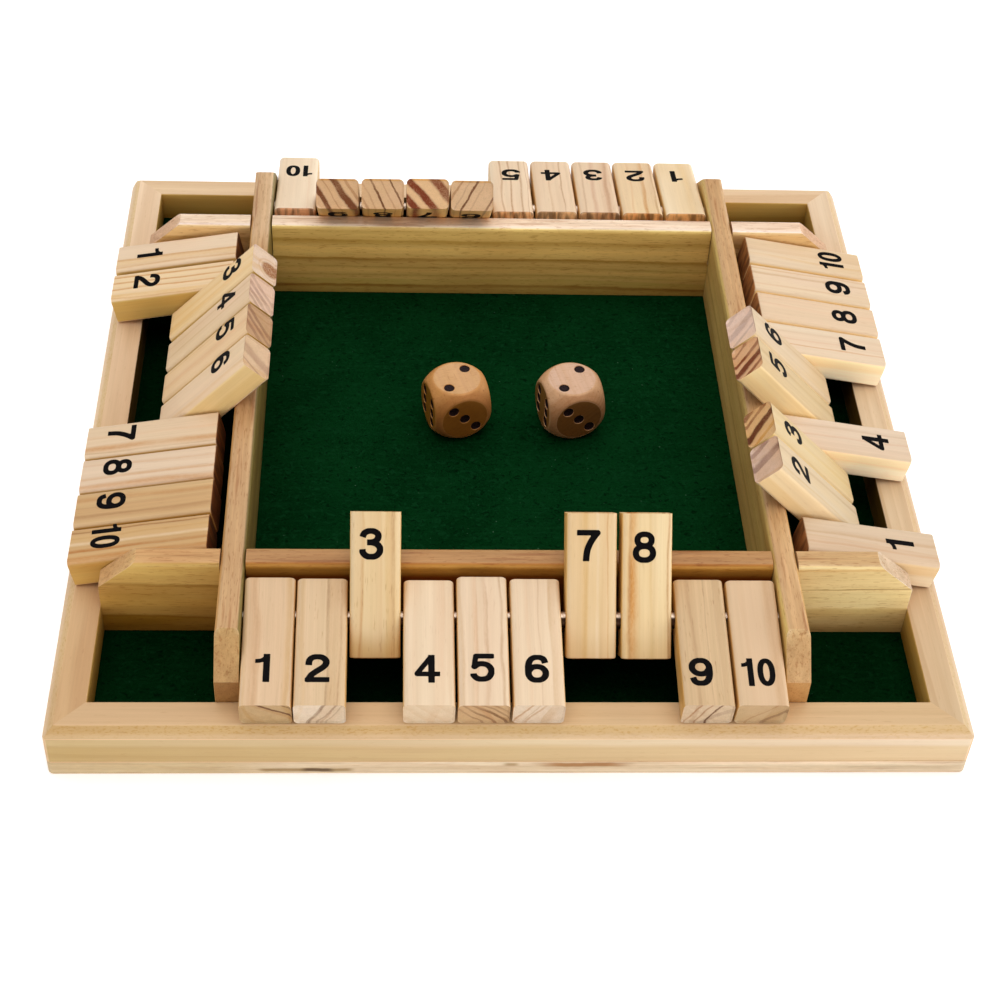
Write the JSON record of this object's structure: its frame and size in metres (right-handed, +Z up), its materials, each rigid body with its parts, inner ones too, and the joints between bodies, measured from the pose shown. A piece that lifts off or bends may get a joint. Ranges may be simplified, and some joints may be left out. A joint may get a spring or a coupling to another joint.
{
  "type": "shut the box game",
  "caption": "Square wooden dice tray with crossing rails, numbered tiles that flip on steel rods along every side, a green felt floor and two wooden dice",
  "frame": {"origin": "middle of the underside of the board", "axes": "+Z up, -Y towards the player at the front, +X to that player's right; tiles of a side run 1 to 10 from left to right seen from outside that side"},
  "size_m": [0.224, 0.224, 0.0467],
  "materials": {
    "board": "sanded light plywood, satin",
    "felt": "short dark green felt",
    "rim_wood": "pale pine, satin lacquer",
    "rail_wood": "pale pine, satin lacquer",
    "steel": "drawn steel wire",
    "tile_wood": "sanded pine with printed black numbers",
    "die_wood": "orange-brown waxed wood with black pips"
  },
  "bodies": {
    "tray": {"base_board": "board", "felt_floor": "felt", "frame_rail_front": "rim_wood", "frame_rail_back": "rim_wood", "frame_rail_left": "rim_wood", "frame_rail_right": "rim_wood", "inner_rail_left": "rail_wood", "inner_rail_right": "rail_wood", "inner_rail_front": "rail_wood", "inner_rail_back": "rail_wood", "tile_rod_front": "steel", "tile_rod_back": "steel", "tile_rod_left": "steel", "tile_rod_right": "steel"},
    "tile_front_1": {"tile_front_1": "tile_wood"},
    "tile_front_2": {"tile_front_2": "tile_wood"},
    "tile_front_3": {"tile_front_3": "tile_wood"},
    "tile_front_4": {"tile_front_4": "tile_wood"},
    "tile_front_5": {"tile_front_5": "tile_wood"},
    "tile_front_6": {"tile_front_6": "tile_wood"},
    "tile_front_7": {"tile_front_7": "tile_wood"},
    "tile_front_8": {"tile_front_8": "tile_wood"},
    "tile_front_9": {"tile_front_9": "tile_wood"},
    "tile_front_10": {"tile_front_10": "tile_wood"},
    "tile_left_1": {"tile_left_1": "tile_wood"},
    "tile_left_2": {"tile_left_2": "tile_wood"},
    "tile_left_3": {"tile_left_3": "tile_wood"},
    "tile_left_4": {"tile_left_4": "tile_wood"},
    "tile_left_5": {"tile_left_5": "tile_wood"},
    "tile_left_6": {"tile_left_6": "tile_wood"},
    "tile_left_7": {"tile_left_7": "tile_wood"},
    "tile_left_8": {"tile_left_8": "tile_wood"},
    "tile_left_9": {"tile_left_9": "tile_wood"},
    "tile_left_10": {"tile_left_10": "tile_wood"},
    "tile_back_1": {"tile_back_1": "tile_wood"},
    "tile_back_2": {"tile_back_2": "tile_wood"},
    "tile_back_3": {"tile_back_3": "tile_wood"},
    "tile_back_4": {"tile_back_4": "tile_wood"},
    "tile_back_5": {"tile_back_5": "tile_wood"},
    "tile_back_6": {"tile_back_6": "tile_wood"},
    "tile_back_7": {"tile_back_7": "tile_wood"},
    "tile_back_8": {"tile_back_8": "tile_wood"},
    "tile_back_9": {"tile_back_9": "tile_wood"},
    "tile_back_10": {"tile_back_10": "tile_wood"},
    "tile_right_1": {"tile_right_1": "tile_wood"},
    "tile_right_2": {"tile_right_2": "tile_wood"},
    "tile_right_3": {"tile_right_3": "tile_wood"},
    "tile_right_4": {"tile_right_4": "tile_wood"},
    "tile_right_5": {"tile_right_5": "tile_wood"},
    "tile_right_6": {"tile_right_6": "tile_wood"},
    "tile_right_7": {"tile_right_7": "tile_wood"},
    "tile_right_8": {"tile_right_8": "tile_wood"},
    "tile_right_9": {"tile_right_9": "tile_wood"},
    "tile_right_10": {"tile_right_10": "tile_wood"},
    "die_left": {"die_left": "die_wood"},
    "die_right": {"die_right": "die_wood"}
  },
  "joints": [
    {"name": "flip_front_1", "type": "hinge", "parent": "tray", "child": "tile_front_1", "pos_m": [-0.0592, -0.08375, 0.0246], "axis": [-1, 0, 0], "range_deg": [0, 144.36]},
    {"name": "flip_front_3", "type": "hinge", "parent": "tray", "child": "tile_front_3", "pos_m": [-0.03355, -0.08375, 0.0246], "axis": [-1, 0, 0], "range_deg": [-144.57, 0]},
    {"name": "flip_left_1", "type": "hinge", "parent": "tray", "child": "tile_left_1", "pos_m": [-0.08375, 0.058, 0.0246], "axis": [0, 1, 0], "range_deg": [0, 144.57]},
    {"name": "flip_left_3", "type": "hinge", "parent": "tray", "child": "tile_left_3", "pos_m": [-0.08375, 0.0313, 0.0246], "axis": [0, 1, 0], "range_deg": [-144.36, 0]},
    {"name": "flip_back_10", "type": "hinge", "parent": "tray", "child": "tile_back_10", "pos_m": [-0.05915, 0.08375, 0.0246], "axis": [1, 0, 0], "range_deg": [0, 133]},
    {"name": "flip_back_6", "type": "hinge", "parent": "tray", "child": "tile_back_6", "pos_m": [-0.00665, 0.08375, 0.0246], "axis": [1, 0, 0], "range_deg": [-144.57, 0]},
    {"name": "flip_right_1", "type": "hinge", "parent": "tray", "child": "tile_right_1", "pos_m": [0.08375, -0.0589, 0.0246], "axis": [0, -1, 0], "range_deg": [0, 144.46]},
    {"name": "flip_right_2", "type": "hinge", "parent": "tray", "child": "tile_right_2", "pos_m": [0.08375, -0.04575, 0.0246], "axis": [0, -1, 0], "range_deg": [-144.36, 0]},
    {"name": "die_left_lift", "type": "slide", "parent": "tray", "child": "die_left", "axis": [0, 0, 1], "range_m": [0, 0.06]},
    {"name": "die_right_lift", "type": "slide", "parent": "tray", "child": "die_right", "axis": [0, 0, 1], "range_m": [0, 0.06]},
    {"name": "flip_front_10", "type": "hinge", "parent": "tray", "child": "tile_front_10", "pos_m": [0.05905, -0.08375, 0.0246], "axis": [-1, 0, 0], "range_deg": [0, 133]},
    {"name": "flip_left_10", "type": "hinge", "parent": "tray", "child": "tile_left_10", "pos_m": [-0.08375, -0.0591, 0.0246], "axis": [0, 1, 0], "range_deg": [0, 133]},
    {"name": "flip_right_10", "type": "hinge", "parent": "tray", "child": "tile_right_10", "pos_m": [0.08375, 0.059, 0.0246], "axis": [0, -1, 0], "range_deg": [0, 133]},
    {"name": "flip_front_2", "type": "hinge", "parent": "tray", "child": "tile_front_2", "pos_m": [-0.04645, -0.08375, 0.0246], "axis": [-1, 0, 0], "range_deg": [0, 144.57]},
    {"name": "flip_front_4", "type": "hinge", "parent": "tray", "child": "tile_front_4", "pos_m": [-0.02055, -0.08375, 0.0246], "axis": [-1, 0, 0], "range_deg": [0, 144.77]},
    {"name": "flip_front_5", "type": "hinge", "parent": "tray", "child": "tile_front_5", "pos_m": [-0.00755, -0.08375, 0.0246], "axis": [-1, 0, 0], "range_deg": [0, 143.83]},
    {"name": "flip_front_6", "type": "hinge", "parent": "tray", "child": "tile_front_6", "pos_m": [0.00555, -0.08375, 0.0246], "axis": [-1, 0, 0], "range_deg": [0, 144.57]},
    {"name": "flip_front_7", "type": "hinge", "parent": "tray", "child": "tile_front_7", "pos_m": [0.0191, -0.08375, 0.0246], "axis": [-1, 0, 0], "range_deg": [-143.94, 0]},
    {"name": "flip_front_8", "type": "hinge", "parent": "tray", "child": "tile_front_8", "pos_m": [0.0327, -0.08375, 0.0246], "axis": [-1, 0, 0], "range_deg": [-143.94, 0]},
    {"name": "flip_front_9", "type": "hinge", "parent": "tray", "child": "tile_front_9", "pos_m": [0.04605, -0.08375, 0.0246], "axis": [-1, 0, 0], "range_deg": [0, 144.36]},
    {"name": "flip_left_2", "type": "hinge", "parent": "tray", "child": "tile_left_2", "pos_m": [-0.08375, 0.04455, 0.0246], "axis": [0, 1, 0], "range_deg": [0, 144.46]},
    {"name": "flip_left_4", "type": "hinge", "parent": "tray", "child": "tile_left_4", "pos_m": [-0.08375, 0.01805, 0.0246], "axis": [0, 1, 0], "range_deg": [-143.94, 0]},
    {"name": "flip_left_5", "type": "hinge", "parent": "tray", "child": "tile_left_5", "pos_m": [-0.08375, 0.00485, 0.0246], "axis": [0, 1, 0], "range_deg": [-143.94, 0]},
    {"name": "flip_left_6", "type": "hinge", "parent": "tray", "child": "tile_left_6", "pos_m": [-0.08375, -0.00815, 0.0246], "axis": [0, 1, 0], "range_deg": [-143.94, 0]},
    {"name": "flip_left_7", "type": "hinge", "parent": "tray", "child": "tile_left_7", "pos_m": [-0.08375, -0.0209, 0.0246], "axis": [0, 1, 0], "range_deg": [0, 144.46]},
    {"name": "flip_left_8", "type": "hinge", "parent": "tray", "child": "tile_left_8", "pos_m": [-0.08375, -0.03365, 0.0246], "axis": [0, 1, 0], "range_deg": [0, 144.57]},
    {"name": "flip_left_9", "type": "hinge", "parent": "tray", "child": "tile_left_9", "pos_m": [-0.08375, -0.04635, 0.0246], "axis": [0, 1, 0], "range_deg": [0, 144.36]},
    {"name": "flip_back_1", "type": "hinge", "parent": "tray", "child": "tile_back_1", "pos_m": [0.05895, 0.08375, 0.0246], "axis": [1, 0, 0], "range_deg": [0, 144.57]},
    {"name": "flip_back_2", "type": "hinge", "parent": "tray", "child": "tile_back_2", "pos_m": [0.0458, 0.08375, 0.0246], "axis": [1, 0, 0], "range_deg": [0, 144.46]},
    {"name": "flip_back_3", "type": "hinge", "parent": "tray", "child": "tile_back_3", "pos_m": [0.03275, 0.08375, 0.0246], "axis": [1, 0, 0], "range_deg": [0, 144.57]},
    {"name": "flip_back_4", "type": "hinge", "parent": "tray", "child": "tile_back_4", "pos_m": [0.0197, 0.08375, 0.0246], "axis": [1, 0, 0], "range_deg": [0, 144.36]},
    {"name": "flip_back_5", "type": "hinge", "parent": "tray", "child": "tile_back_5", "pos_m": [0.0065, 0.08375, 0.0246], "axis": [1, 0, 0], "range_deg": [0, 144.57]},
    {"name": "flip_back_7", "type": "hinge", "parent": "tray", "child": "tile_back_7", "pos_m": [-0.01965, 0.08375, 0.0246], "axis": [1, 0, 0], "range_deg": [-143.77, 0]},
    {"name": "flip_back_8", "type": "hinge", "parent": "tray", "child": "tile_back_8", "pos_m": [-0.0328, 0.08375, 0.0246], "axis": [1, 0, 0], "range_deg": [-144.25, 0]},
    {"name": "flip_back_9", "type": "hinge", "parent": "tray", "child": "tile_back_9", "pos_m": [-0.046, 0.08375, 0.0246], "axis": [1, 0, 0], "range_deg": [-144.57, 0]},
    {"name": "flip_right_3", "type": "hinge", "parent": "tray", "child": "tile_right_3", "pos_m": [0.08375, -0.03275, 0.0246], "axis": [0, -1, 0], "range_deg": [-144.36, 0]},
    {"name": "flip_right_4", "type": "hinge", "parent": "tray", "child": "tile_right_4", "pos_m": [0.08375, -0.0197, 0.0246], "axis": [0, -1, 0], "range_deg": [0, 144.57]},
    {"name": "flip_right_5", "type": "hinge", "parent": "tray", "child": "tile_right_5", "pos_m": [0.08375, -0.00655, 0.0246], "axis": [0, -1, 0], "range_deg": [-144.25, 0]},
    {"name": "flip_right_6", "type": "hinge", "parent": "tray", "child": "tile_right_6", "pos_m": [0.08375, 0.00665, 0.0246], "axis": [0, -1, 0], "range_deg": [-144.46, 0]},
    {"name": "flip_right_7", "type": "hinge", "parent": "tray", "child": "tile_right_7", "pos_m": [0.08375, 0.0197, 0.0246], "axis": [0, -1, 0], "range_deg": [0, 144.57]},
    {"name": "flip_right_8", "type": "hinge", "parent": "tray", "child": "tile_right_8", "pos_m": [0.08375, 0.03275, 0.0246], "axis": [0, -1, 0], "range_deg": [0, 144.36]},
    {"name": "flip_right_9", "type": "hinge", "parent": "tray", "child": "tile_right_9", "pos_m": [0.08375, 0.0458, 0.0246], "axis": [0, -1, 0], "range_deg": [0, 144.57]}
  ]
}
